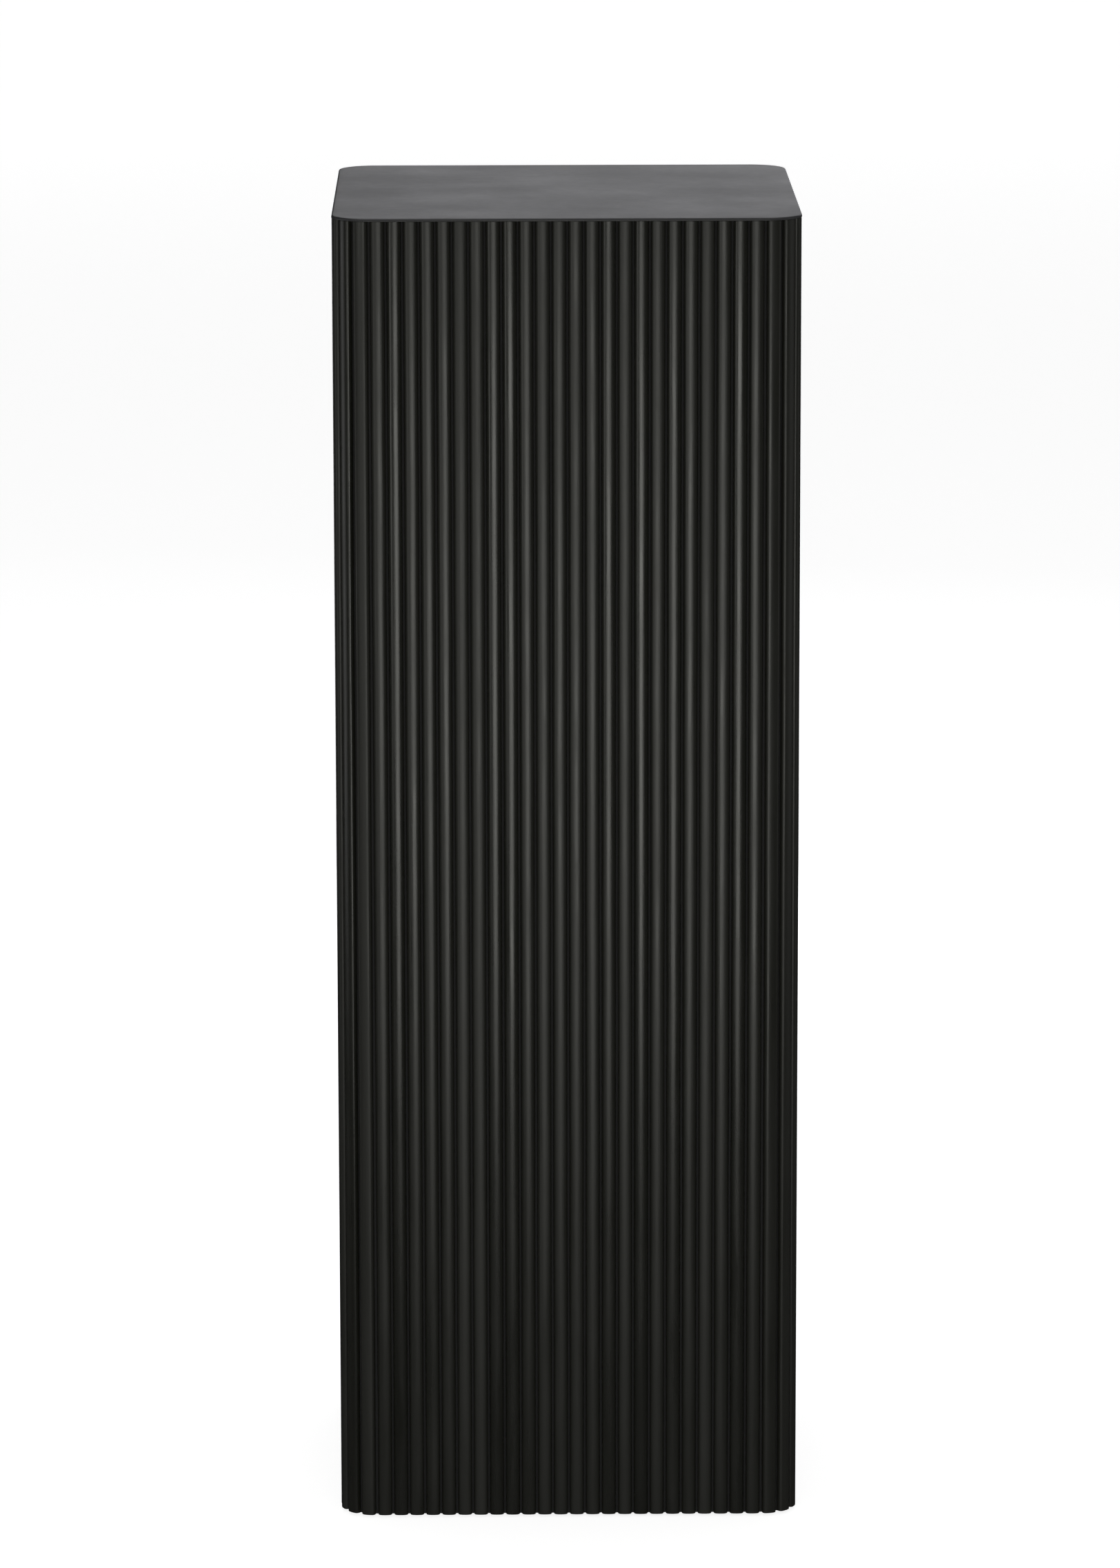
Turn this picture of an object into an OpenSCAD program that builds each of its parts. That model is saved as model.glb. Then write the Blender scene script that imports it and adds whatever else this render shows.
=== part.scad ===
// Free-standing display plinth: a square box with rounded corners, wrapped in
// round-faced vertical slats and closed by a thin flat cap.
// The origin is on the floor, under the middle of the plinth. +Z is up and the
// front faces -Y.

/* [Overall size] */
// Width and depth over the crests of the slats
body_w = 350; // [340:1:400]
// Height from the floor to the top face
body_h = 1000; // [600:1:1200]

/* [Slats] */
// Slats on each side, besides the one at each corner
side_slats = 26; // [20:2:26]
// Width of a slat
slat_w = 10.6; // [9:0.1:10.6]
// Height of a slat above its backing
slat_h = 4.8; // [4.4:0.1:5]
// Radius of the flat arc along a slat's crest
crest_r = 14; // [10:0.5:20]
// Radius of the rounding between a slat's crest and its sides
shoulder_r = 2.8; // [2:0.1:3]
// Radius of the plinth's corners over the slat crests
corner_r = 28; // [24:0.5:30]
// Gap between the floor and the lower ends of the slats
slat_gap = 2; // [1:0.5:3.5]

/* [Backing] */
// Thickness of the cloth and glue that the slats are fixed to
backing_t = 1; // [0.6:0.1:1.5]
// Width of the butt seam where the backing's two ends meet at the back
seam_w = 0.5; // [0.2:0.1:1]

/* [Cap] */
// Thickness of the cap sheet
cap_t = 2; // [1.5:0.1:4]
// Chamfer round the cap's upper edge
cap_arris = 0.5; // [0.2:0.1:1]

/* [Carcass] */
// Thickness of the four side boards
board_t = 12; // [11:1:15]
// Thickness of the top and base panels
panel_t = 18; // [16:1:22]
// Width and depth of a corner post
post_w = 32; // [30:1:40]
// Thickness of the brace halfway up
brace_t = 12; // [9:1:15]
// Depth of the housing that the brace stands in
housing_depth = 4; // [2:0.5:5]
// Thickness of the tongue on each side of a board
tongue_t = 4; // [3:0.5:5]
// Length of that tongue
tongue_len = 6; // [4:0.5:8]
// Room left for glue at the bottom of a groove or a dowel hole
glue_room = 0.5; // [0.2:0.1:1]

/* [Fixings] */
// Diameter of a dowel
dowel_d = 6; // [5:0.5:8]
// Length of a dowel
dowel_len = 30; // [25:1:35]
// How far a dowel enters the top panel
dowel_in_panel = 12; // [8:1:14]
// Diameter over the thread of every screw
screw_d = 4; // [3:0.5:4.5]
// Diameter of a screw's head
screw_head_d = 8; // [7:0.5:9]
// Length of the screws through the base panel
base_screw_len = 35; // [30:1:36]
// Length of the screws through the battens
batten_screw_len = 28; // [25:1:30]
// Length of the screws that hold the glides
glide_screw_len = 16; // [12:1:17]

/* [Glides] */
// Diameter of a floor glide
glide_d = 26; // [20:1:32]
// Thickness of a floor glide
glide_t = 4; // [4:0.5:6]
// Distance from the plinth's side to a glide's centre
glide_inset = 45; // [40:1:80]

/* [Hidden] */
$fn = 64;

// Quarter turns that carry the front onto each side, and the front right
// corner onto each corner
FRONT = 0;
RIGHT = 1;
BACK = 2;
LEFT = 3;
FRONT_RIGHT = 0;
BACK_RIGHT = 1;
BACK_LEFT = 2;
FRONT_LEFT = 3;

lacquer_black = [0.055, 0.055, 0.055];
cap_black = [0.10, 0.10, 0.11];
cloth_black = [0.03, 0.03, 0.03];
mdf_brown = [0.62, 0.47, 0.33];
pine_yellow = [0.82, 0.66, 0.44];
beech_tan = [0.78, 0.60, 0.42];
zinc_grey = [0.70, 0.71, 0.72];
nylon_grey = [0.16, 0.16, 0.17];

// Backing, and the slats evenly spread along it: from the middle of one side
// to the middle of the next there is one slat more than side_slats
backing_w = body_w - 2 * slat_h;
backing_r = corner_r - slat_h;
corner_mid = body_w / 2 - corner_r;
slat_len = body_h - cap_t - slat_gap;
slat_pitch = (2 * corner_mid + PI * backing_r / 2) / (side_slats + 1);

// Shoulders of a slat's outline, which meet the crest's arc without a corner
shoulder_x = slat_w / 2 - shoulder_r;
crest_y = slat_h - crest_r;
crest_angle = asin(shoulder_x / (crest_r - shoulder_r));
shoulder_y = crest_y + (crest_r - shoulder_r) * cos(crest_angle);

// Carcass sizes, one skin further in
carcass_w = backing_w - 2 * backing_t;
carcass_r = backing_r - backing_t;
carcass_half = carcass_w / 2;
board_w = carcass_w - 2 * post_w;
board_half = board_w / 2;
board_inner = carcass_half - board_t;
batten_w = post_w - board_t;

// Heights of the levels, from the floor up
base_z = glide_t;
frame_z = base_z + panel_t;
top_panel_z = body_h - cap_t - panel_t;
frame_h = top_panel_z - frame_z;
brace_z = frame_z + (frame_h - brace_t) / 2;

// Places of the fixings
post_mid = carcass_half - post_w / 2;
board_mid = carcass_half - board_t / 2;
batten_mid = board_inner - batten_w / 2;
batten_inner = board_inner - batten_w;
dowel_z = top_panel_z + dowel_in_panel - dowel_len;
dowel_x = board_w / 6;
base_screw_x = board_w / 4;
batten_screw_x = board_w / 3;
glide_mid = body_w / 2 - glide_inset;

// Proportions of a screw
screw_head_h = (screw_head_d - screw_d) / 2;
screw_tip = screw_d * 1.5;
recess_w = screw_head_d / 8;
recess_len = screw_head_d / 2;
recess_depth = screw_head_h * 0.8;
head_sink = 0.6;
cut = 0.1;

// A square in the middle of its own plane, with round corners
module round_square(width, radius) {
    side = width - 2 * radius;
    square([width, side], center = true);
    square([side, width], center = true);
    for (x = [-1, 1], y = [-1, 1])
        translate([x * side / 2, y * side / 2])
            circle(r = radius);
}

// Outline of a slat that stands on the x axis: upright sides, round shoulders
// and a flatter arc along the crest
module slat_outline() {
    translate([-slat_w / 2, 0])
        square([slat_w, shoulder_y]);
    for (x = [-shoulder_x, shoulder_x])
        translate([x, shoulder_y])
            circle(r = shoulder_r);
    intersection() {
        translate([0, crest_y])
            circle(r = crest_r);
        polygon([
            [0, crest_y],
            [2 * crest_r * sin(crest_angle), crest_y + 2 * crest_r * cos(crest_angle)],
            [-2 * crest_r * sin(crest_angle), crest_y + 2 * crest_r * cos(crest_angle)]
        ]);
        translate([-slat_w / 2, 0])
            square([slat_w, slat_h + cut]);
    }
}

// One slat, full height, standing on the x axis with its crest towards -Y
module slat() {
    color(lacquer_black)
        mirror([0, 1, 0])
            linear_extrude(height = slat_len)
                slat_outline();
}

// Puts a slat on the backing, the given way along it from the middle of the
// front: straight along the side, and then round the corner's arc
module slat_at(way) {
    past = max(abs(way) - corner_mid, 0);
    side = sign(way);
    translate([side * min(abs(way), corner_mid), -corner_mid, slat_gap])
        rotate([0, 0, side * past / backing_r * 180 / PI])
            translate([0, -backing_r, 0])
                slat();
}

// Every slat of the side that is the given quarter turn from the front; the
// outer two already stand on the corners' arcs
module side_of_slats(turn) {
    rotate([0, 0, 90 * turn])
        for (i = [0 : side_slats - 1])
            slat_at((i - (side_slats - 1) / 2) * slat_pitch);
}

// The slat in the middle of the corner that is the given quarter turn from the
// front right
module corner_slat(turn) {
    rotate([0, 0, 90 * turn])
        slat_at((side_slats + 1) / 2 * slat_pitch);
}

// Outer form of a countersunk screw: its head's face is at the origin, and it
// runs along +Z
module screw_form(length) {
    rotate_extrude()
        polygon([
            [0, 0],
            [screw_head_d / 2, 0],
            [screw_d / 2, screw_head_h],
            [screw_d / 2, length - screw_tip],
            [0, length]
        ]);
}

// A countersunk screw with a cross recess
module screw(length) {
    color(zinc_grey)
        difference() {
            screw_form(length);
            for (turn = [0, 90])
                rotate([0, 0, turn])
                    translate([-recess_len / 2, -recess_w / 2, -cut])
                        cube([recess_len, recess_w, recess_depth + cut]);
        }
}

// Puts its child at each screw of the base panel, pointing up: two below each
// batten and one below each post
module at_base_screws() {
    for (turn = [0 : 3])
        rotate([0, 0, 90 * turn]) {
            for (x = [-base_screw_x, base_screw_x])
                translate([x, -batten_mid, base_z])
                    children();
            translate([post_mid, -post_mid, base_z])
                children();
        }
}

// Puts its child at each screw of one row of battens, pointing out at the board
module at_batten_screws(batten_z) {
    for (turn = [0 : 3], x = [-batten_screw_x, 0, batten_screw_x])
        rotate([0, 0, 90 * turn])
            translate([x, -batten_inner, batten_z + batten_w / 2])
                rotate([90, 0, 0])
                    children();
}

// Puts its child at each glide, on the floor
module at_glides() {
    for (x = [-glide_mid, glide_mid], y = [-glide_mid, glide_mid])
        translate([x, y, 0])
            children();
}

// Puts its child at the lower end of each dowel: two in each board's upper edge
// and one in each post's upper end
module at_dowels() {
    for (turn = [0 : 3])
        rotate([0, 0, 90 * turn]) {
            for (x = [-dowel_x, dowel_x])
                translate([x, -board_mid, dowel_z])
                    children();
            translate([post_mid, -post_mid, dowel_z])
                children();
        }
}

// Every dowel hole, with room for glue at both ends
module dowel_holes() {
    at_dowels()
        translate([0, 0, -glue_room])
            cylinder(h = dowel_len + 2 * glue_room, d = dowel_d);
}

// Every hole that a screw makes in the wood
module screw_holes() {
    at_base_screws()
        screw_form(base_screw_len);
    at_batten_screws(frame_z)
        screw_form(batten_screw_len);
    at_batten_screws(top_panel_z - batten_w)
        screw_form(batten_screw_len);
}

// Outline of a side board seen from above, with a tongue at each end
module board_outline() {
    translate([-board_half, -carcass_half])
        square([board_w, board_t]);
    translate([-board_half - tongue_len, -board_mid - tongue_t / 2])
        square([board_w + 2 * tongue_len, tongue_t]);
}

// The side board that is the given quarter turn from the front
module side_board(turn) {
    color(mdf_brown)
        difference() {
            rotate([0, 0, 90 * turn])
                translate([0, 0, frame_z])
                    difference() {
                        linear_extrude(height = frame_h)
                            board_outline();
                        translate([-board_half, -board_inner - housing_depth, brace_z - frame_z])
                            cube([board_w, housing_depth + cut, brace_t]);
                    }
            dowel_holes();
            screw_holes();
        }
}

// Outline of the front right post seen from above: square inside, rounded
// outside, with a groove for a board's tongue in each of two faces
module post_outline() {
    groove = tongue_len + glue_room;
    difference() {
        intersection() {
            round_square(carcass_w, carcass_r);
            translate([board_half, -carcass_half])
                square(post_w);
        }
        translate([board_half - cut, -board_mid - tongue_t / 2])
            square([groove + cut, tongue_t]);
        translate([board_mid - tongue_t / 2, -board_half - groove])
            square([tongue_t, groove + cut]);
    }
}

// The corner post that is the given quarter turn from the front right
module corner_post(turn) {
    color(pine_yellow)
        difference() {
            rotate([0, 0, 90 * turn])
                translate([0, 0, frame_z])
                    linear_extrude(height = frame_h)
                        post_outline();
            dowel_holes();
            screw_holes();
        }
}

// Four battens in the angle between the boards and a panel, from post to post
module battens(batten_z) {
    color(pine_yellow)
        difference() {
            for (turn = [0 : 3])
                rotate([0, 0, 90 * turn])
                    translate([-board_half, -board_inner, batten_z])
                        cube([board_w, batten_w, batten_w]);
            screw_holes();
        }
}

// Thin sheet over the whole top, flush with the slat crests, with a chamfer
// round its upper edge
module top_cap() {
    half = body_w / 2;
    wall_h = cap_t - cap_arris;
    color(cap_black)
        translate([0, 0, body_h - cap_t]) {
            for (turn = [0, 90])
                rotate([90, 0, turn])
                    translate([0, 0, -corner_mid])
                        linear_extrude(height = 2 * corner_mid)
                            polygon([
                                [-half, 0],
                                [half, 0],
                                [half, wall_h],
                                [half - cap_arris, cap_t],
                                [cap_arris - half, cap_t],
                                [-half, wall_h]
                            ]);
            for (x = [-corner_mid, corner_mid], y = [-corner_mid, corner_mid])
                translate([x, y, 0])
                    rotate_extrude()
                        polygon([
                            [0, 0],
                            [corner_r, 0],
                            [corner_r, wall_h],
                            [corner_r - cap_arris, cap_t],
                            [0, cap_t]
                        ]);
        }
}

// Thick panel that closes the carcass under the cap
module top_panel() {
    color(mdf_brown)
        difference() {
            translate([0, 0, top_panel_z])
                linear_extrude(height = panel_t)
                    round_square(carcass_w, carcass_r);
            dowel_holes();
        }
}

// Thick panel that the boards and posts stand on, countersunk from below
module base_panel() {
    color(mdf_brown)
        difference() {
            translate([0, 0, base_z])
                linear_extrude(height = panel_t)
                    round_square(carcass_w, carcass_r);
            screw_holes();
            at_glides()
                translate([0, 0, head_sink])
                    screw_form(glide_screw_len);
        }
}

// Brace halfway up, let into the four boards and cut out round the posts
module mid_brace() {
    long_side = 2 * (board_inner + housing_depth);
    color(mdf_brown)
        translate([0, 0, brace_z])
            linear_extrude(height = brace_t) {
                square([long_side, board_w], center = true);
                square([board_w, long_side], center = true);
            }
}

module front_board() {
    side_board(FRONT);
}

module right_board() {
    side_board(RIGHT);
}

module back_board() {
    side_board(BACK);
}

module left_board() {
    side_board(LEFT);
}

module post_front_right() {
    corner_post(FRONT_RIGHT);
}

module post_back_right() {
    corner_post(BACK_RIGHT);
}

module post_back_left() {
    corner_post(BACK_LEFT);
}

module post_front_left() {
    corner_post(FRONT_LEFT);
}

module top_battens() {
    battens(top_panel_z - batten_w);
}

module bottom_battens() {
    battens(frame_z);
}

// Cloth sheet that carries the slats, wrapped once round the carcass
module tambour_backing() {
    color(cloth_black)
        translate([0, 0, slat_gap])
            linear_extrude(height = slat_len)
                difference() {
                    round_square(backing_w, backing_r);
                    round_square(carcass_w, carcass_r);
                    translate([-seam_w / 2, carcass_half - backing_t])
                        square([seam_w, 3 * backing_t]);
                }
}

module front_slats() {
    side_of_slats(FRONT);
}

module right_slats() {
    side_of_slats(RIGHT);
}

module back_slats() {
    side_of_slats(BACK);
}

module left_slats() {
    side_of_slats(LEFT);
}

module corner_slat_front_right() {
    corner_slat(FRONT_RIGHT);
}

module corner_slat_back_right() {
    corner_slat(BACK_RIGHT);
}

module corner_slat_back_left() {
    corner_slat(BACK_LEFT);
}

module corner_slat_front_left() {
    corner_slat(FRONT_LEFT);
}

// Dowels between the top panel and the boards and posts
module top_dowels() {
    color(beech_tan)
        at_dowels()
            cylinder(h = dowel_len, d = dowel_d);
}

// Screws from below, through the base panel into the battens and posts
module base_screws() {
    at_base_screws()
        screw(base_screw_len);
}

// Screws from inside, through the battens into the boards
module batten_screws() {
    at_batten_screws(frame_z)
        screw(batten_screw_len);
    at_batten_screws(top_panel_z - batten_w)
        screw(batten_screw_len);
}

// Four round glides that the plinth stands on
module floor_glides() {
    color(nylon_grey)
        at_glides()
            difference() {
                cylinder(h = glide_t, d = glide_d);
                translate([0, 0, head_sink])
                    screw_form(glide_screw_len);
                translate([0, 0, -cut])
                    cylinder(h = head_sink + cut, d = screw_head_d);
            }
}

// The screw in the middle of each glide
module glide_screws() {
    at_glides()
        translate([0, 0, head_sink])
            screw(glide_screw_len);
}

top_cap();
top_panel();
mid_brace();
base_panel();
front_board();
right_board();
back_board();
left_board();
post_front_right();
post_back_right();
post_back_left();
post_front_left();
top_battens();
bottom_battens();
tambour_backing();
front_slats();
right_slats();
back_slats();
left_slats();
corner_slat_front_right();
corner_slat_back_right();
corner_slat_back_left();
corner_slat_front_left();
top_dowels();
base_screws();
batten_screws();
floor_glides();
glide_screws();
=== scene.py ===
"""Looks of the display plinth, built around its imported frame.

The slats and the cap are finer surfaces worked out with numpy, each standing for the
node that it is named after. Everything else keeps its CAD mesh and gets a finish.
All lengths are metres, +Z is up and the front faces -Y.
"""

import logging
import math
from dataclasses import dataclass, field
from enum import Enum

import bpy
import numpy as np
from mathutils import Matrix, Vector


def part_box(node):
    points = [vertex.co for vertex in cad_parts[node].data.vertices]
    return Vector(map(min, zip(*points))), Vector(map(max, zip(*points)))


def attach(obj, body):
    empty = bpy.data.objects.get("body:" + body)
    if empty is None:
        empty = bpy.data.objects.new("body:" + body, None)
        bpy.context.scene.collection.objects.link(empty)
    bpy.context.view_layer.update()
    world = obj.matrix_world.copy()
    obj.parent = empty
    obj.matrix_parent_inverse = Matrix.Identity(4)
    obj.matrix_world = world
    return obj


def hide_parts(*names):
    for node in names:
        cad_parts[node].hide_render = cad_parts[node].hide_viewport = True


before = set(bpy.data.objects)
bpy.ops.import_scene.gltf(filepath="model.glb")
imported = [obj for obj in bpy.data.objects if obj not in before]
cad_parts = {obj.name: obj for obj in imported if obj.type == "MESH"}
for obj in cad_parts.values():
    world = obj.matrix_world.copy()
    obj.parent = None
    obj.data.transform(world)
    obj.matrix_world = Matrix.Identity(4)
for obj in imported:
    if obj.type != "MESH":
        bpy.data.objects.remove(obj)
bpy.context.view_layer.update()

LOG = logging.getLogger("plinth")
BODY = "root"
MM = 0.001


class Side(Enum):
    """A side of the plinth, as quarter turns from the front; a corner is the one to its right."""

    FRONT = 0
    RIGHT = 1
    BACK = 2
    LEFT = 3

    @property
    def face_node(self) -> str:
        """The node of this side's slats."""
        return f"{self.name.lower()}_slats"

    @property
    def corner_node(self) -> str:
        """The node of the slat on the corner at this side's right-hand end."""
        return "corner_slat_" + ("front_right", "back_right", "back_left", "front_left")[self.value]

    @property
    def board_node(self) -> str:
        """The node of this side's board."""
        return f"{self.name.lower()}_board"

    @property
    def post_node(self) -> str:
        """The node of the post at this side's right-hand end."""
        return "post_" + ("front_right", "back_right", "back_left", "front_left")[self.value]

    def turned(self, points: np.ndarray) -> np.ndarray:
        """Turns points given for the front onto this side.

        Args:
            points: array whose last axis is x, y, z.

        Returns:
            The same points, turned about the z axis.
        """
        cosine, sine = ((1, 0), (0, 1), (-1, 0), (0, -1))[self.value]
        x, y, z = points[..., 0], points[..., 1], points[..., 2]
        return np.stack([x * cosine - y * sine, x * sine + y * cosine, z], axis=-1)


# ---------------------------------------------------------------- meshes


def quads_of_grid(rows: int, columns: int, wrap: bool) -> np.ndarray:
    """Corner numbers of the quads of a grid of points, row by row.

    Args:
        rows: how many rows of points there are.
        columns: how many points a row has.
        wrap: whether the last point of a row joins its first.

    Returns:
        One line of four corner numbers for each quad.
    """
    across = np.arange(columns if wrap else columns - 1)
    row = np.arange(rows - 1)[:, None] * columns
    right = (across + 1) % columns
    corners = np.stack([row + across, row + right, row + columns + right, row + columns + across], -1)
    return corners.reshape(-1, 4)


def mesh_piece(name: str, points: np.ndarray, faces: list, sharp_deg: float) -> bpy.types.Object:
    """Makes a smooth-shaded piece from points and faces.

    Args:
        name: the piece's name.
        points: one line of x, y, z for each point.
        faces: lists of corner numbers.
        sharp_deg: edges that bend by more than this stay sharp.

    Returns:
        The new object, at the origin.
    """
    mesh = bpy.data.meshes.new(name)
    mesh.from_pydata(points.reshape(-1, 3), [], faces)
    mesh.validate()
    mesh.shade_smooth()
    mesh.set_sharp_from_angle(angle=math.radians(sharp_deg))
    piece = bpy.data.objects.new(name, mesh)
    bpy.context.scene.collection.objects.link(piece)
    return piece


def closed_lofts(lofts: np.ndarray) -> list:
    """Faces of many closed solids, each a stack of rings with a flat face at both ends.

    Args:
        lofts: points of shape (solids, rings, points of a ring, 3); a ring runs
            anticlockwise seen from the end that the last ring is at.

    Returns:
        Lists of corner numbers.
    """
    count, rings, ring_size = lofts.shape[:3]
    first = np.arange(count)[:, None, None] * rings * ring_size
    sides = (first + quads_of_grid(rings, ring_size, wrap=True)).reshape(-1, 4)
    ring = np.arange(ring_size)
    low_ends = (first[:, 0] + ring[::-1]).reshape(count, ring_size)
    high_ends = (first[:, 0] + (rings - 1) * ring_size + ring).reshape(count, ring_size)
    return sides.tolist() + low_ends.tolist() + high_ends.tolist()


# ---------------------------------------------------------------- shaders


class Wire:
    """A value on its way through a shader; arithmetic on it adds Math nodes."""

    def __init__(self, graph: "Graph", socket: bpy.types.NodeSocket) -> None:
        """Wraps an output socket of a graph's node."""
        self.graph = graph
        self.socket = socket

    def _math(self, operation: str, first: object, second: object = 0.0, clamp: bool = False) -> "Wire":
        """Adds a Math node; first and second are wires or numbers."""
        settings = {"operation": operation, "use_clamp": clamp}
        return self.graph.node("ShaderNodeMath", settings, {0: first, 1: second}).out(0)

    def __add__(self, other: object) -> "Wire":
        """This plus the other."""
        return self._math("ADD", self, other)

    def __radd__(self, other: object) -> "Wire":
        """The other plus this."""
        return self._math("ADD", other, self)

    def __sub__(self, other: object) -> "Wire":
        """This less the other."""
        return self._math("SUBTRACT", self, other)

    def __rsub__(self, other: object) -> "Wire":
        """The other less this."""
        return self._math("SUBTRACT", other, self)

    def __mul__(self, other: object) -> "Wire":
        """This times the other."""
        return self._math("MULTIPLY", self, other)

    def __rmul__(self, other: object) -> "Wire":
        """The other times this."""
        return self._math("MULTIPLY", other, self)

    def __pow__(self, other: object) -> "Wire":
        """This to the power of the other."""
        return self._math("POWER", self, other)

    def clipped(self) -> "Wire":
        """This, held between 0 and 1."""
        return self._math("ADD", self, 0.0, clamp=True)

    def sine(self) -> "Wire":
        """The sine of this, in radians."""
        return self._math("SINE", self)

    def size(self) -> "Wire":
        """This without its sign."""
        return self._math("ABSOLUTE", self)

    def larger(self, other: object) -> "Wire":
        """The larger of this and the other."""
        return self._math("MAXIMUM", self, other)

    def above(self, level: object) -> "Wire":
        """1 where this is above the level, otherwise 0."""
        return self._math("GREATER_THAN", self, level)

    def ramp(self, low: float, high: float) -> "Wire":
        """0 up to low, 1 from high, and a smooth rise between them."""
        settings = {"interpolation_type": "SMOOTHSTEP"}
        return self.graph.node("ShaderNodeMapRange", settings, {0: self, 1: low, 2: high}).out(0)


class Node:
    """A shader node whose outputs come out as wires."""

    def __init__(self, graph: "Graph", node: bpy.types.Node) -> None:
        """Wraps a node of a graph."""
        self.graph = graph
        self.node = node

    def out(self, key: object) -> Wire:
        """The output with that name or number."""
        return Wire(self.graph, self.node.outputs[key])


class Graph:
    """The shader of one material: a Principled shader and the nodes that feed it."""

    def __init__(self, name: str) -> None:
        """Makes an empty material of that name."""
        self.material = bpy.data.materials.new(name)
        self.material.use_nodes = True
        self.tree = self.material.node_tree
        self.tree.nodes.clear()
        self.shader = self.node("ShaderNodeBsdfPrincipled", {}, {})
        output = self.node("ShaderNodeOutputMaterial", {}, {})
        self.tree.links.new(self.shader.node.outputs[0], output.node.inputs[0])
        place = self.node("ShaderNodeTexCoord", {}, {}).out("Object")
        self.place = place
        apart = self.node("ShaderNodeSeparateXYZ", {}, {0: place})
        self.x, self.y, self.z = apart.out(0), apart.out(1), apart.out(2)

    def node(self, kind: str, settings: dict, inputs: dict) -> Node:
        """Adds one node.

        Args:
            kind: the node's type.
            settings: its properties.
            inputs: a wire or a plain value for each input, by name or number.

        Returns:
            The new node.
        """
        made = self.tree.nodes.new(kind)
        for key, value in settings.items():
            setattr(made, key, value)
        for key, value in inputs.items():
            self.feed(made.inputs[key], value)
        return Node(self, made)

    def feed(self, socket: bpy.types.NodeSocket, value: object) -> None:
        """Links a wire to a socket, or sets a plain value on it."""
        if isinstance(value, Wire):
            self.tree.links.new(value.socket, socket)
        elif socket.type == "RGBA":
            socket.default_value = (*value, 1)
        else:
            socket.default_value = value

    def dress(self, **inputs: object) -> None:
        """Feeds the Principled shader's inputs, with _ for a space in their names."""
        for key, value in inputs.items():
            self.feed(self.shader.node.inputs[key.replace("_", " ")], value)

    def noise(self, size: float, detail: float = 3, rough: float = 0.5,
              stretch: tuple = (1, 1, 1), shift: float = 0.0) -> Wire:
        """Noise whose blobs are about size metres across, stretched along the axes.

        Args:
            size: width of a blob in metres.
            detail: how many finer layers are added.
            rough: how strong those layers are.
            stretch: how many times longer a blob is along x, y and z.
            shift: moves the pattern, so that two with one size differ.

        Returns:
            A value from 0 to 1, mostly near 0.5.
        """
        scale = tuple(1 / s for s in stretch)
        place = self.node("ShaderNodeMapping", {}, {"Vector": self.place, "Scale": scale,
                                                    "Location": (shift, -shift, 2 * shift)})
        inputs = {"Vector": place.out(0), "Scale": 1 / size, "Detail": detail, "Roughness": rough}
        return self.node("ShaderNodeTexNoise", {}, inputs).out(0)

    def blend(self, factor: Wire, first: object, second: object) -> Wire:
        """A colour between two others; factor 0 gives the first and 1 the second."""
        settings = {"data_type": "RGBA"}
        return self.node("ShaderNodeMix", settings, {0: factor, 6: first, 7: second}).out(2)

    def bump(self, height: Wire, depth: float, strength: float = 1.0,
             under: object = None) -> Wire:
        """A normal bent by a height.

        Args:
            height: a value from 0 to 1.
            depth: how far the height 1 stands out, in metres.
            strength: how much of the bend is used.
            under: the normal that this one is added to.

        Returns:
            The normal.
        """
        inputs = {"Height": height, "Distance": depth, "Strength": strength}
        if under is not None:
            inputs["Normal"] = under
        return self.node("ShaderNodeBump", {}, inputs).out(0)


@dataclass(frozen=True)
class Lacquer:
    """Satin black lacquer over wood, glossier in patches, with the grain still in it."""

    name: str
    colour: tuple = (0.0053, 0.0054, 0.0041)
    paler: float = 2.0
    roughness: float = 0.35
    slat_spread: float = 0.17
    patch_gloss: float = 0.08
    pore: float = 0.7 * MM
    flow_size: float = 9 * MM
    patch_size: float = 14 * MM
    peel_size: float = 0.9 * MM
    scuff_size: float = 30 * MM
    along_grain: float = 60.0

    def material(self) -> bpy.types.Material:
        """Makes the material: the grain runs along z."""
        g = Graph(self.name)
        tone = g.node("ShaderNodeAttribute", {"attribute_name": "slat_tone"}, {}).out("Fac")
        grain = g.noise(self.pore, 4, 0.6, (1, 1, self.along_grain))
        flow = g.noise(self.flow_size, 2, 0.5, (1, 1, 9), 3.0)
        peel = g.noise(self.peel_size, 1, 0.4, (1, 1, 1.6), 7.0)
        scuff = g.noise(self.scuff_size, 4, 0.7, (1, 1, 2.5), 11.0).ramp(0.60, 0.75)
        patch = g.noise(self.patch_size, 3, 0.6, (1, 1, 11), 19.0).ramp(0.50, 0.72)
        pale = tuple(self.paler * c for c in self.colour)
        shade = (0.35 * grain + 0.45 * flow + 0.5 * tone - 0.1).clipped()
        g.dress(Base_Color=g.blend(shade, self.colour, pale),
                Roughness=(self.roughness + 0.16 * (flow - 0.5)
                           + self.slat_spread * (tone - 0.5) + 0.08 * (grain - 0.5)
                           + 0.05 * scuff - self.patch_gloss * patch).clipped(),
                Normal=g.bump(grain * 0.5 + flow * 0.2, 0.10 * MM, 0.6,
                              g.bump(peel, 0.03 * MM, 0.6)))
        return g.material


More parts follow.
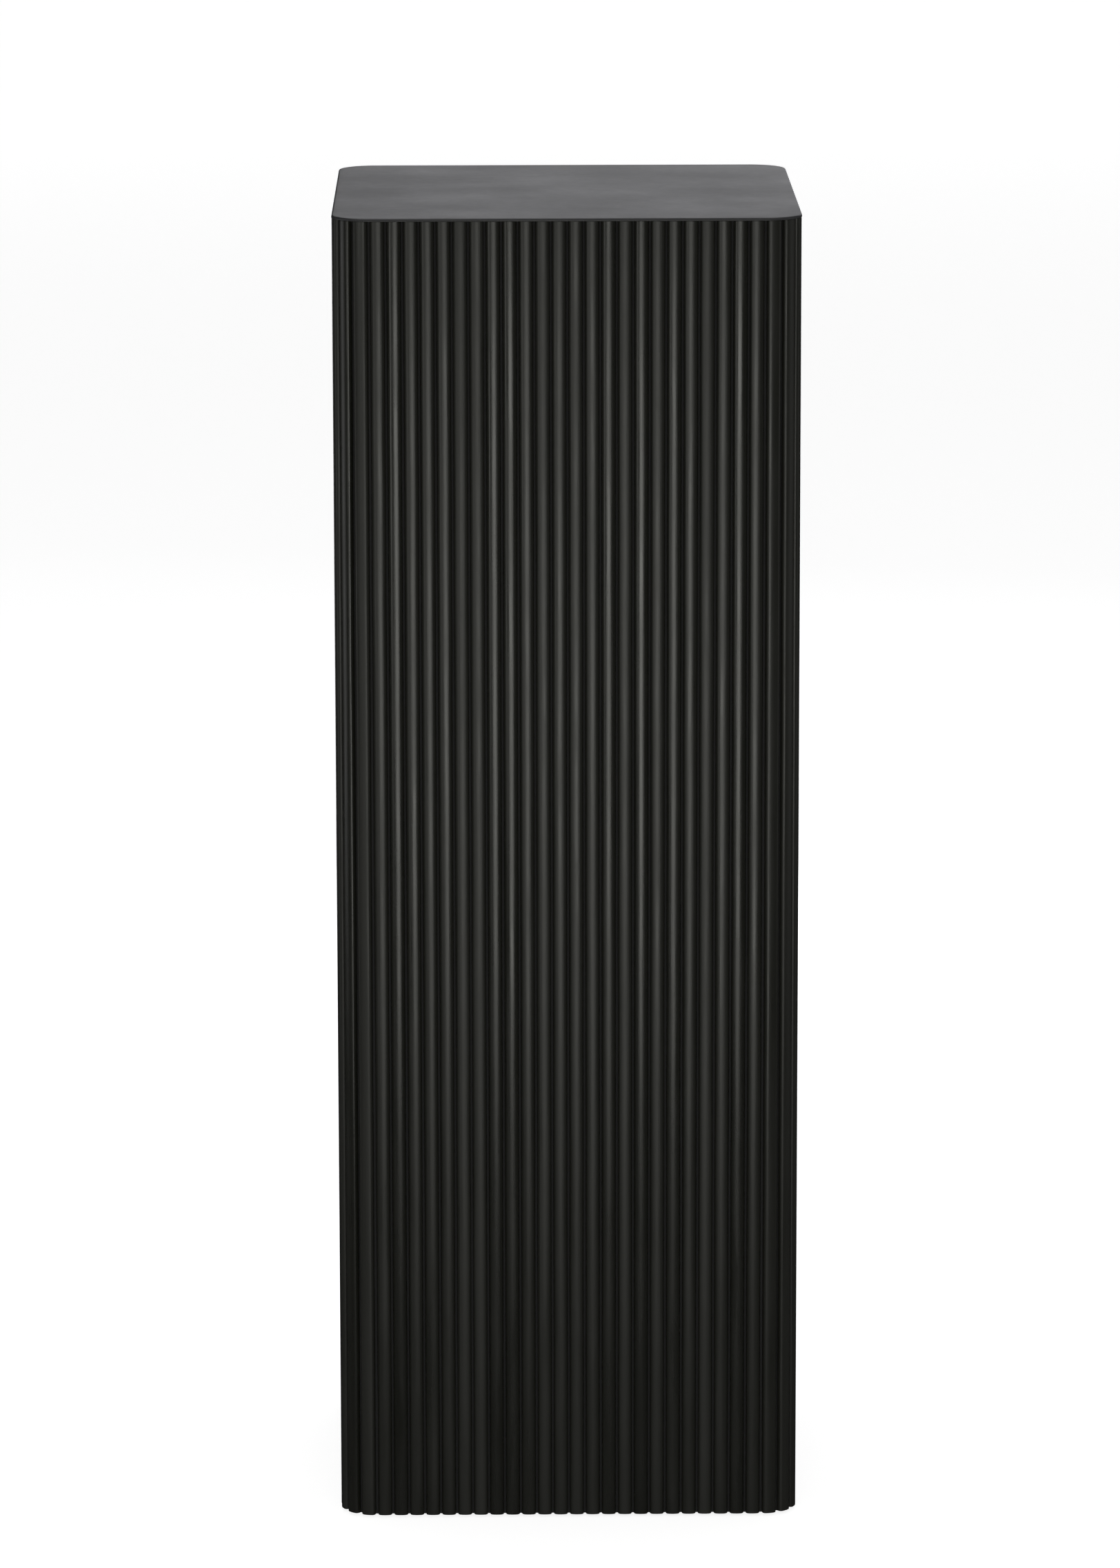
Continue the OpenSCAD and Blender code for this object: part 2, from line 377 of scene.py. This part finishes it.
@dataclass(frozen=True)
class CapLacquer:
    """Sprayed satin black on a flat sheet, with a little cloudiness and fine handling marks."""

    name: str
    colour: tuple = (0.013, 0.013, 0.0138)
    paler: float = 1.8
    roughness: float = 0.45
    cloud_size: float = 70 * MM
    mist_size: float = 6 * MM
    peel_size: float = 1.1 * MM
    rub_size: float = 12 * MM

    def material(self) -> bpy.types.Material:
        """Makes the material."""
        g = Graph(self.name)
        cloud = g.noise(self.cloud_size, 3, 0.55)
        mist = g.noise(self.mist_size, 3, 0.6, shift=5.0)
        peel = g.noise(self.peel_size, 2, 0.5, shift=9.0)
        rub = g.noise(self.rub_size, 5, 0.75, (6, 1, 1), 2.0).ramp(0.62, 0.74)
        pale = tuple(self.paler * c for c in self.colour)
        g.dress(Base_Color=g.blend((0.6 * cloud + 0.4 * mist).clipped(), self.colour, pale),
                Roughness=(self.roughness + 0.14 * (cloud - 0.5) + 0.06 * (mist - 0.5)
                           + 0.05 * rub).clipped(),
                Normal=g.bump(peel, 0.03 * MM, 0.5, g.bump(cloud, 0.4 * MM, 0.3)))
        return g.material


@dataclass(frozen=True)
class BackingCloth:
    """Black woven cloth, sprayed with the slats, at the bottom of the grooves."""

    name: str
    colour: tuple = (0.006, 0.006, 0.006)
    thread: float = 0.5 * MM

    def material(self) -> bpy.types.Material:
        """Makes the material: threads along z cross threads round the plinth."""
        g = Graph(self.name)
        turns = 2 * math.pi / self.thread
        weave = ((g.x + g.y) * turns).sine() * (g.z * turns).sine() * 0.5 + 0.5
        fuzz = g.noise(1.5 * MM, 3, 0.6)
        pale = tuple(2.5 * c for c in self.colour)
        g.dress(Base_Color=g.blend((weave * 0.5 + fuzz * 0.5).clipped(), self.colour, pale),
                Roughness=(0.75 + 0.15 * fuzz).clipped(),
                Normal=g.bump(weave, 0.1 * MM, 0.5))
        return g.material


@dataclass(frozen=True)
class Fibreboard:
    """Raw fibreboard: even brown, flecked with pale and dark fibres."""

    name: str
    colour: tuple = (0.33, 0.215, 0.125)
    overspray_from: float = 1.0

    def material(self) -> bpy.types.Material:
        """Makes the material; black overspray covers what lies beyond overspray_from."""
        g = Graph(self.name)
        fibre = g.noise(0.8 * MM, 4, 0.7, (3, 1, 1.5))
        speck = g.noise(0.5 * MM, 2, 0.5, shift=4.0).ramp(0.60, 0.72)
        cloud = g.noise(40 * MM, 3, 0.5, shift=8.0)
        dark = tuple(0.62 * c for c in self.colour)
        pale = tuple(1.35 * c for c in self.colour)
        raw = g.blend((0.55 * fibre + 0.45 * cloud).clipped(), dark, pale)
        raw = g.blend(speck * 0.5, raw, (0.16, 0.09, 0.045))
        drift = g.noise(7 * MM, 4, 0.7, shift=6.0)
        reach = g.x.size().larger(g.y.size()) + 0.012 * (drift - 0.5)
        spray = reach.ramp(self.overspray_from - 0.010, self.overspray_from)
        g.dress(Base_Color=g.blend(spray, raw, (0.014, 0.014, 0.014)),
                Roughness=(0.82 - 0.2 * spray + 0.1 * (fibre - 0.5)).clipped(),
                Normal=g.bump(fibre, 0.05 * MM, 0.5))
        return g.material


@dataclass(frozen=True)
class Timber:
    """Planed softwood or beech, with growth rings and pores along the grain."""

    name: str
    pale: tuple = (0.60, 0.40, 0.21)
    dark: tuple = (0.36, 0.19, 0.075)
    ring: float = 3.2 * MM
    level: bool = False

    def material(self) -> bpy.types.Material:
        """Makes the material; the grain is upright, or for level pieces along their side."""
        g = Graph(self.name)
        if self.level:
            beside = g.y.size().above(g.x.size())
            along = beside * g.x + (1 - beside) * g.y
            across = beside * g.y + (1 - beside) * g.x
            up = g.z
        else:
            along, across, up = g.z, g.x, g.y
        place = g.node("ShaderNodeCombineXYZ", {}, {0: across, 1: up, 2: along * 0.03}).out(0)
        sway = g.node("ShaderNodeTexNoise", {}, {"Vector": place, "Scale": 40.0, "Detail": 2}).out(0)
        far = ((across + 0.03) ** 2.0 + (up * 1.0 + 0.02) ** 2.0) ** 0.5
        rings = ((far + 0.006 * sway) * (2 * math.pi / self.ring)).sine() * 0.5 + 0.5
        pores = g.node("ShaderNodeTexNoise", {}, {"Vector": place, "Scale": 1500.0, "Detail": 3}).out(0)
        late = rings ** 3.0
        mix = (0.75 * late + 0.35 * (pores - 0.4)).clipped()
        g.dress(Base_Color=g.blend(mix, self.pale, self.dark),
                Roughness=(0.62 - 0.1 * late + 0.1 * (pores - 0.5)).clipped(),
                Normal=g.bump(pores * 0.6 + late * 0.4, 0.06 * MM, 0.5))
        return g.material


@dataclass(frozen=True)
class ZincSteel:
    """Zinc-plated steel, slightly clouded."""

    name: str
    colour: tuple = (0.60, 0.61, 0.62)

    def material(self) -> bpy.types.Material:
        """Makes the material."""
        g = Graph(self.name)
        cloud = g.noise(2 * MM, 3, 0.6)
        fine = g.noise(0.2 * MM, 2, 0.5, (1, 1, 4), 3.0)
        dull = tuple(0.7 * c for c in self.colour)
        g.dress(Base_Color=g.blend(cloud, dull, self.colour), Metallic=1.0,
                Roughness=(0.26 + 0.25 * cloud + 0.08 * (fine - 0.5)).clipped(),
                Normal=g.bump(fine, 0.01 * MM, 0.4))
        return g.material


@dataclass(frozen=True)
class Nylon:
    """Moulded black nylon with a fine spark texture, scuffed underneath."""

    name: str
    colour: tuple = (0.022, 0.022, 0.023)

    def material(self) -> bpy.types.Material:
        """Makes the material."""
        g = Graph(self.name)
        spark = g.noise(0.35 * MM, 3, 0.6)
        scuff = g.noise(3 * MM, 5, 0.75, (5, 1, 1), 2.0).ramp(0.52, 0.72)
        low = 1 - g.z.ramp(0.2 * MM, 0.6 * MM)
        g.dress(Base_Color=g.blend((scuff * low * 0.6).clipped(), self.colour, (0.12, 0.12, 0.12)),
                Roughness=(0.48 + 0.12 * (spark - 0.5) + 0.2 * scuff * low).clipped(),
                Normal=g.bump(spark, 0.03 * MM, 0.5))
        return g.material


# ---------------------------------------------------------------- pieces


def finish_piece(piece: bpy.types.Object, material: bpy.types.Material) -> None:
    """Dresses a new piece and lets it stand for the CAD node that it is named after.

    Args:
        piece: the piece, named NODE_surface.
        material: its finish.
    """
    piece.data.materials.append(material)
    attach(piece, BODY)
    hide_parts(piece.name.removesuffix("_surface"))
    LOG.info("%s: %d faces", piece.name, len(piece.data.polygons))


def dress_node(node: str, material: bpy.types.Material) -> None:
    """Gives a CAD node its finish."""
    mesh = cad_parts[node].data
    mesh.materials.clear()
    mesh.materials.append(material)
    LOG.info("%s: CAD node dressed", node)


@dataclass
class SlatWrap:
    """The round-faced slats, evenly spread round the plinth: straight rows and four corners."""

    side_slats: int = 26
    width: float = 10.6 * MM
    crest_radius: float = 14 * MM
    shoulder_radius: float = 2.8 * MM
    corner_radius: float = 28 * MM
    crest_steps: int = 6
    shoulder_steps: int = 6
    rise_steps: int = 26
    softening: float = 0.3 * MM
    bow: float = 0.10 * MM
    twist_deg: float = 1.2
    swell: float = 0.04 * MM
    waves: int = 4
    wave_counts: tuple = (1.0, 9.0)
    wave_strengths: tuple = (0.3, 1.0)
    wave_gain: float = 1.6
    sharp_deg: float = 40
    seed: int = 7
    finish: Lacquer = field(default_factory=lambda: Lacquer("slat_lacquer"))

    def __post_init__(self) -> None:
        """Reads the heights and depths of the slats from the frame."""
        low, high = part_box(Side.FRONT.face_node)
        backing_low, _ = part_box("tambour_backing")
        self.bottom, self.top = low.z, high.z
        self.back = -backing_low.y
        self.height = -low.y - self.back
        self.corner_mid = self.back + self.height - self.corner_radius
        self.bend = self.corner_radius - self.height
        self.pitch = (2 * self.corner_mid + math.pi / 2 * self.bend) / (self.side_slats + 1)
        self.rng = np.random.default_rng(self.seed)

    def outline(self) -> tuple[np.ndarray, np.ndarray]:
        """A slat's section: upright sides, round shoulders and a flatter arc along the crest.

        A point of either arc is the arc's centre plus its radius times the outward
        direction, and the direction swings from one side over the crest to the other.
        The shoulders meet the crest where their centre, the crest's centre and the
        direction are in line.

        Returns:
            Points (across, outward) and the outward direction at each.
        """
        reach = self.width / 2 - self.shoulder_radius
        meet = math.asin(reach / (self.crest_radius - self.shoulder_radius))
        crest_mid = self.height - self.crest_radius
        shoulder_mid = crest_mid + reach / math.tan(meet)
        shoulder = np.linspace(math.pi / 2, meet, self.shoulder_steps + 1)
        crest = np.linspace(meet, -meet, self.crest_steps + 1)[1:-1]
        angle = -np.concatenate([shoulder, crest, -shoulder[::-1]])
        on_crest = np.abs(angle) < meet - 1e-9
        radius = np.where(on_crest, self.crest_radius, self.shoulder_radius)
        centre_x = np.where(on_crest, 0, np.sign(angle) * reach)
        centre_y = np.where(on_crest, crest_mid, shoulder_mid)
        outward = np.stack([np.sin(angle), np.cos(angle)], axis=-1)
        arc = np.stack([centre_x, centre_y], axis=-1) + radius[:, None] * outward
        foot = np.array([[self.width / 2, 0.0]])
        points = np.concatenate([foot * (-1, 1), arc, foot])
        return points, np.concatenate([[[-1.0, 0.0]], outward, [[1.0, 0.0]]])

    def sway(self, count: int, rise: np.ndarray) -> np.ndarray:
        """Gentle waves along each slat: a sum of sines of height.

        Each sine has a random count of waves to the slat's length, a random start and
        a random strength.

        Args:
            count: how many slats.
            rise: heights from 0 to 1.

        Returns:
            Values from about -1 to 1, of shape (count, heights, 1).
        """
        shape = (count, self.waves, 1)
        counts = self.rng.uniform(*self.wave_counts, shape)
        starts = self.rng.uniform(0, 2 * math.pi, shape)
        strengths = self.rng.uniform(*self.wave_strengths, shape) / self.waves
        sines = strengths * np.sin(2 * math.pi * counts * rise + starts)
        return self.wave_gain * sines.sum(axis=1)[..., None]

    def slats(self, count: int) -> np.ndarray:
        """Points of slats that stand on the x axis with their crests towards -Y.

        Every ring is the outline, swollen, turned and shifted by a gentle wave. The
        rings at both ends are drawn in a little, which softens the end's edge.

        Args:
            count: how many slats.

        Returns:
            Points of shape (count, rings, points of a ring, 3).
        """
        rise = np.linspace(self.bottom + self.softening, self.top - self.softening, self.rise_steps)
        rise = np.concatenate([[self.bottom], rise, [self.top]])
        inset = np.zeros_like(rise)
        inset[[0, -1]] = self.softening
        points, outward = self.outline()
        sections = points - inset[:, None, None] * outward
        share = (rise - self.bottom) / (self.top - self.bottom)
        twist = math.radians(self.twist_deg) * self.sway(count, share)
        shift = self.bow * self.sway(count, share)
        swell = 1 - self.swell / self.height * np.abs(self.sway(count, share))
        across, out = sections[..., 0], sections[..., 1] * swell
        x = across * np.cos(twist) - out * np.sin(twist) + shift
        y = -np.maximum(out * np.cos(twist) + across * np.sin(twist), 0)
        z = np.broadcast_to(rise[:, None], x.shape)
        return np.stack([x, y, z], axis=-1)

    def on_wrap(self, slats: np.ndarray, ways: np.ndarray) -> np.ndarray:
        """Puts slats on the backing: straight along the side, then round the corner's arc.

        Args:
            slats: points of shape (count, rings, points of a ring, 3).
            ways: how far along the backing each stands from the middle of the side.

        Returns:
            The moved points.
        """
        ways = ways[:, None, None]
        past = np.maximum(np.abs(ways) - self.corner_mid, 0)
        turn = np.sign(ways) * past / self.bend
        x, y, z = slats[..., 0], slats[..., 1] - self.bend, slats[..., 2]
        straight = np.clip(ways, -self.corner_mid, self.corner_mid)
        return np.stack([straight + x * np.cos(turn) - y * np.sin(turn),
                         x * np.sin(turn) + y * np.cos(turn) - self.corner_mid, z], axis=-1)

    def piece(self, node: str, points: np.ndarray, material: bpy.types.Material) -> None:
        """Makes one node's slats a piece, with a tone of its own for each slat.

        Args:
            node: the CAD node they stand for.
            points: array of shape (slats, rings, points of a ring, 3).
            material: their finish.
        """
        piece = mesh_piece(f"{node}_surface", points, closed_lofts(points), self.sharp_deg)
        tones = np.repeat(self.rng.random(len(points)), points[0, ..., 0].size)
        layer = piece.data.attributes.new("slat_tone", "FLOAT", "POINT")
        layer.data.foreach_set("value", tones.astype(np.float32))
        finish_piece(piece, material)

    def build(self) -> None:
        """Makes the slats of the four sides and the four corners."""
        material = self.finish.material()
        row = (np.arange(self.side_slats) - (self.side_slats - 1) / 2) * self.pitch
        corner = np.array([(self.side_slats + 1) / 2 * self.pitch])
        for side in Side:
            for node, ways in ((side.face_node, row), (side.corner_node, corner)):
                points = self.on_wrap(self.slats(len(ways)), ways)
                self.piece(node, side.turned(points), material)


@dataclass
class CapSheet:
    """The thin flat sheet over the whole top, with a softened edge."""

    corner_radius: float = 28 * MM
    top_arris: float = 1.3 * MM
    low_arris: float = 0.2 * MM
    corner_steps: int = 16
    arris_steps: int = 6
    rim: float = 4 * MM
    sharp_deg: float = 40
    finish: CapLacquer = field(default_factory=lambda: CapLacquer("cap_lacquer"))

    def ring(self, inset: np.ndarray) -> np.ndarray:
        """Rounded squares, each drawn in from the sheet's edge.

        Args:
            inset: how far each ring is drawn in, of any shape.

        Returns:
            x and y of the rings' points, of shape (*inset.shape, points, 2).
        """
        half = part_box("top_cap")[1].x
        inset = np.asarray(inset)[..., None]
        angle = np.linspace(0, math.pi / 2, self.corner_steps + 1)
        quarter = np.concatenate([angle + k * math.pi / 2 for k in range(4)])
        centre = half - self.corner_radius
        way = np.repeat([[1, 1], [-1, 1], [-1, -1], [1, -1]], len(angle), axis=0)
        radius = self.corner_radius - inset
        x = way[:, 0] * centre + radius * np.cos(quarter)
        y = way[:, 1] * centre + radius * np.sin(quarter)
        return np.stack([x, y], axis=-1)

    def build(self) -> None:
        """Makes the sheet: rings run from its underside, up its edge and onto its top."""
        low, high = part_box("top_cap")
        bend = np.linspace(0, math.pi / 2, self.arris_steps + 1)
        under = self.low_arris * (1 - np.sin(bend)), low.z + self.low_arris * (1 - np.cos(bend))
        over = self.top_arris * (1 - np.cos(bend)), high.z - self.top_arris * (1 - np.sin(bend))
        inset = np.concatenate([[self.rim], under[0], over[0], [self.rim]])
        rise = np.concatenate([[low.z], under[1], over[1], [high.z]])
        rings = self.ring(inset)
        heights = np.broadcast_to(rise[:, None, None], (*rings.shape[:2], 1))
        points = np.concatenate([rings, heights], axis=-1)[None]
        piece = mesh_piece("top_cap_surface", points, closed_lofts(points), self.sharp_deg)
        finish_piece(piece, self.finish.material())


@dataclass
class Carcass:
    """The box inside: boards, posts, panels, brace, battens and the cloth round them."""

    cloth: BackingCloth = field(default_factory=lambda: BackingCloth("backing_cloth"))
    board: Fibreboard = field(default_factory=lambda: Fibreboard("fibreboard"))
    base: Fibreboard = field(default_factory=lambda: Fibreboard("base_fibreboard",
                                                                 overspray_from=0.150))
    post: Timber = field(default_factory=lambda: Timber("upright_softwood"))
    batten: Timber = field(default_factory=lambda: Timber("level_softwood", level=True))
    dowel: Timber = field(default_factory=lambda: Timber("beech", (0.52, 0.33, 0.18),
                                                         (0.36, 0.20, 0.10), 1.2 * MM))

    def build(self) -> None:
        """Dresses the CAD nodes."""
        board, post, batten = self.board.material(), self.post.material(), self.batten.material()
        dress_node("tambour_backing", self.cloth.material())
        for side in Side:
            dress_node(side.board_node, board)
            dress_node(side.post_node, post)
        for node in ("top_panel", "mid_brace"):
            dress_node(node, board)
        dress_node("base_panel", self.base.material())
        for node in ("top_battens", "bottom_battens"):
            dress_node(node, batten)
        dress_node("top_dowels", self.dowel.material())


@dataclass
class Fixings:
    """Screws and glides."""

    steel: ZincSteel = field(default_factory=lambda: ZincSteel("zinc_steel"))
    nylon: Nylon = field(default_factory=lambda: Nylon("nylon"))

    def build(self) -> None:
        """Dresses the CAD nodes."""
        steel = self.steel.material()
        for node in ("base_screws", "batten_screws", "glide_screws"):
            dress_node(node, steel)
        dress_node("floor_glides", self.nylon.material())


# ---------------------------------------------------------------- studio


@dataclass
class Lamp:
    """A rectangular soft light that points at a spot."""

    name: str
    place: tuple
    target: tuple
    size: tuple
    brightness: float
    colour: tuple = (1.0, 1.0, 1.0)

    def build(self) -> None:
        """Hangs the light; its brightness is what a face looking at it sees."""
        data = bpy.data.lights.new(self.name, "AREA")
        data.shape = "RECTANGLE"
        data.size, data.size_y = self.size
        data.energy = self.brightness * math.pi * self.size[0] * self.size[1]
        data.color = self.colour
        lamp = bpy.data.objects.new(self.name, data)
        lamp.location = self.place
        look = Vector(self.target) - Vector(self.place)
        lamp.rotation_euler = look.to_track_quat("-Z", "Y").to_euler()
        lamp.visible_camera = False
        bpy.context.scene.collection.objects.link(lamp)


@dataclass
class Studio:
    """A round pale floor that sweeps up into a wall, soft lights and the camera."""

    floor_colour: tuple = (0.45, 0.45, 0.45)
    floor_glow: float = 0.84
    flat_radius: float = 9.5
    sweep: float = 2.5
    wall_top: float = 4.0
    inner_radii: tuple = (0.02, 0.5)
    flat_rings: int = 12
    sweep_steps: int = 16
    round_steps: int = 96
    sky: tuple = (0.02, 0.02, 0.021)
    camera_place: tuple = (-0.0624, -5.455, 1.642)
    camera_down_deg: float = 11.439
    camera_right_deg: float = 0.612
    camera_roll_deg: float = -0.094
    lens_mm: float = 164.7
    lamps: tuple = (
        Lamp("key", (0.05, -1.75, 0.42), (0.03, -0.175, 0.42), (0.56, 0.80), 3.85, (1.0, 1.0, 0.94)),
        Lamp("front_left_card", (-1.35, -2.3, 0.7), (0, 0, 0.6), (0.8, 1.2), 1.4, (1.0, 1.0, 0.94)),
        Lamp("left_card", (-2.2, -0.1, 0.5), (0, 0, 0.5), (0.8, 0.9), 1.0),
        Lamp("right_card", (2.2, -0.1, 0.5), (0, 0, 0.5), (0.8, 0.9), 0.45),
        Lamp("back_card", (0.86, 3.6, 1.9), (0.2, 0, 1.0), (2.6, 1.3), 1.27, (0.97, 0.97, 1.0)),
        Lamp("left_high_card", (-3.6, 0, 1.9), (0, 0, 1.0), (2.6, 1.0), 0.45),
        Lamp("right_high_card", (3.6, 0, 1.9), (0, 0, 1.0), (2.6, 1.0), 0.45),
        Lamp("rear_key", (0, 2.2, 0.5), (0, 0.175, 0.45), (1.6, 0.9), 2.2),
        Lamp("top", (0, 0, 5.0), (0, 0, 0), (5.0, 5.0), 1.2),
    )

    def floor(self) -> None:
        """Makes the floor: a flat disc, a quarter arc up and a wall, as a profile turned about z."""
        bend = np.linspace(0, math.pi / 2, self.sweep_steps + 1)[1:]
        innermost, next_in = self.inner_radii
        flat = [innermost, *np.linspace(next_in, self.flat_radius, self.flat_rings)]
        radius = np.concatenate([flat, self.flat_radius + self.sweep * np.sin(bend),
                                 [self.flat_radius + self.sweep]])
        rise = np.concatenate([np.zeros(len(flat)), self.sweep * (1 - np.cos(bend)),
                               [self.wall_top]])
        angle = np.linspace(0, 2 * math.pi, self.round_steps, endpoint=False)
        points = np.stack([radius[:, None] * np.cos(angle), radius[:, None] * np.sin(angle),
                           np.broadcast_to(rise[:, None], (len(rise), len(angle)))], axis=-1)
        faces = quads_of_grid(len(rise), len(angle), wrap=True)[:, ::-1].tolist()
        faces.append(list(range(len(angle))))
        floor = mesh_piece("studio_floor", points, faces, 60)
        g = Graph("studio_paper")
        g.dress(Base_Color=self.floor_colour, Roughness=0.9, Specular_IOR_Level=0.1,
                Emission_Color=(1.0, 1.0, 1.0), Emission_Strength=self.floor_glow)
        floor.data.materials.append(g.material)
        floor.visible_glossy = False

    def world(self) -> None:
        """Gives the air round the sweep a dim even light."""
        world = bpy.data.worlds.new("studio_air")
        world.use_nodes = True
        background = world.node_tree.nodes["Background"]
        background.inputs["Color"].default_value = (*self.sky, 1)
        bpy.context.scene.world = world

    def camera(self) -> None:
        """Sets up the camera: a long lens at eye height."""
        data = bpy.data.cameras.new("camera")
        data.lens = self.lens_mm
        camera = bpy.data.objects.new("camera", data)
        turn = (Matrix.Rotation(-math.radians(self.camera_right_deg), 4, "Z")
                @ Matrix.Rotation(math.radians(90 - self.camera_down_deg), 4, "X")
                @ Matrix.Rotation(math.radians(self.camera_roll_deg), 4, "Z"))
        camera.matrix_world = Matrix.Translation(self.camera_place) @ turn
        bpy.context.scene.collection.objects.link(camera)
        bpy.context.scene.camera = camera

    def build(self) -> None:
        """Makes the studio."""
        self.camera()
        self.world()
        self.floor()
        for lamp in self.lamps:
            lamp.build()
        bpy.context.scene.view_settings.view_transform = "Standard"


def main() -> None:
    """Builds the plinth and the studio round it."""
    logging.basicConfig(level=logging.INFO, format="%(name)s: %(message)s")
    SlatWrap().build()
    CapSheet().build()
    Carcass().build()
    Fixings().build()
    Studio().build()


if __name__ == "__main__":
    main()
